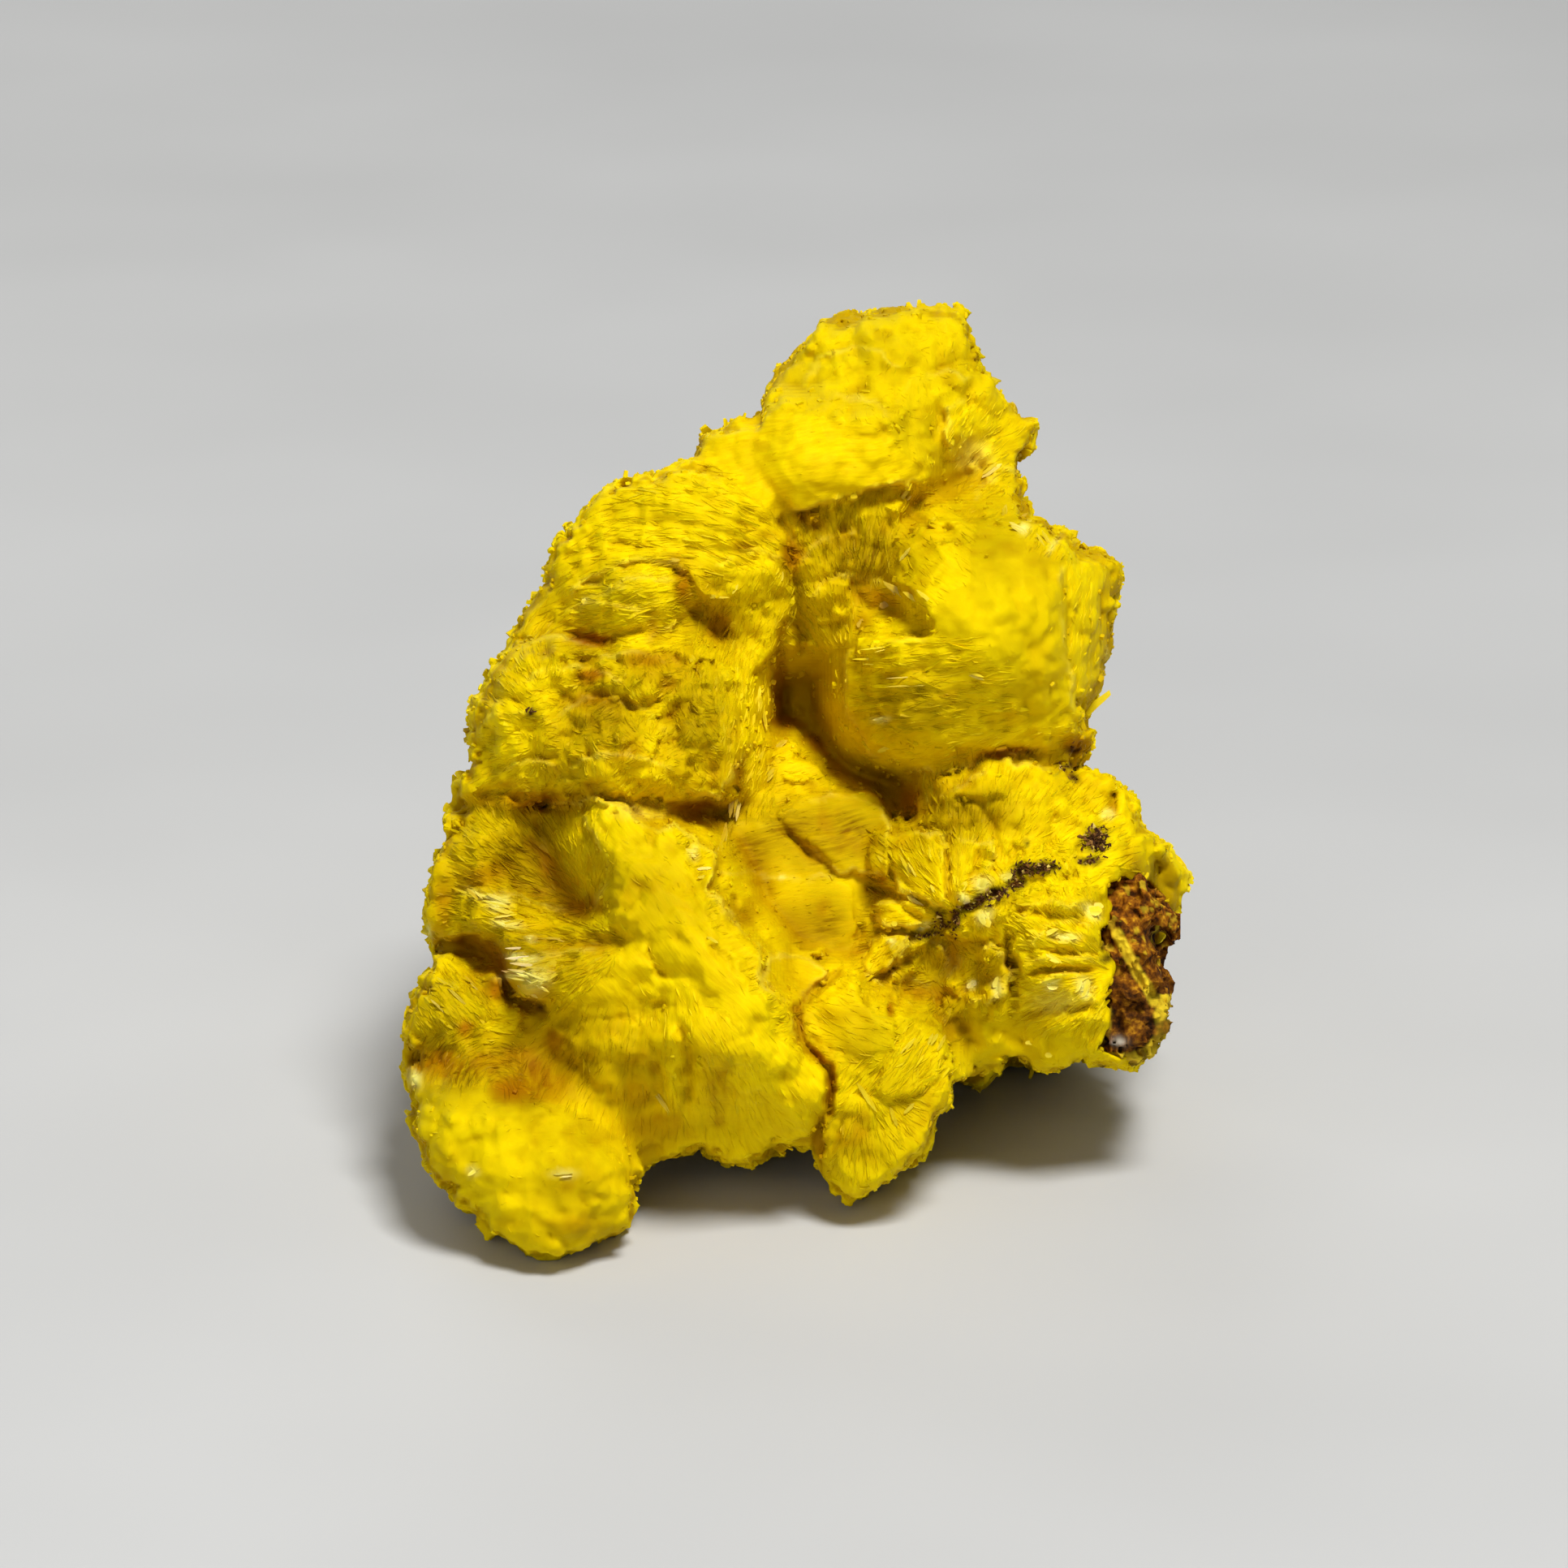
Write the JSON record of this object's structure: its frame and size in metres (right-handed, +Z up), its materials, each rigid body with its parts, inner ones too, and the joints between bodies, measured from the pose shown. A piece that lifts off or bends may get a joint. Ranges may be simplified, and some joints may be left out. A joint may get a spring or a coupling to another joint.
{
  "type": "vanuralite specimen",
  "caption": "Upright mineral specimen: an intergrown mass of lemon-yellow platy crystal rosettes with a crumb of brown iron-oxide matrix at its right edge.",
  "frame": {"origin": "centre of the specimen's footprint box, on the ground it stands on", "axes": "+Z up, along the standing height; -Y is the front that shows the hollow and the rosettes; +X to the right, toward the brown matrix"},
  "size_m": [0.0149, 0.0146, 0.0155],
  "materials": {
    "vanuralite": "lemon yellow, fine silky to pearly platy crystals with small glints, slightly translucent at thin edges",
    "limonite": "dull, crumbly brown to near-black iron oxide with ochre veins"
  },
  "bodies": {
    "root": {"vanuralite_crystals": "vanuralite", "limonite_matrix": "limonite"}
  },
  "joints": []
}
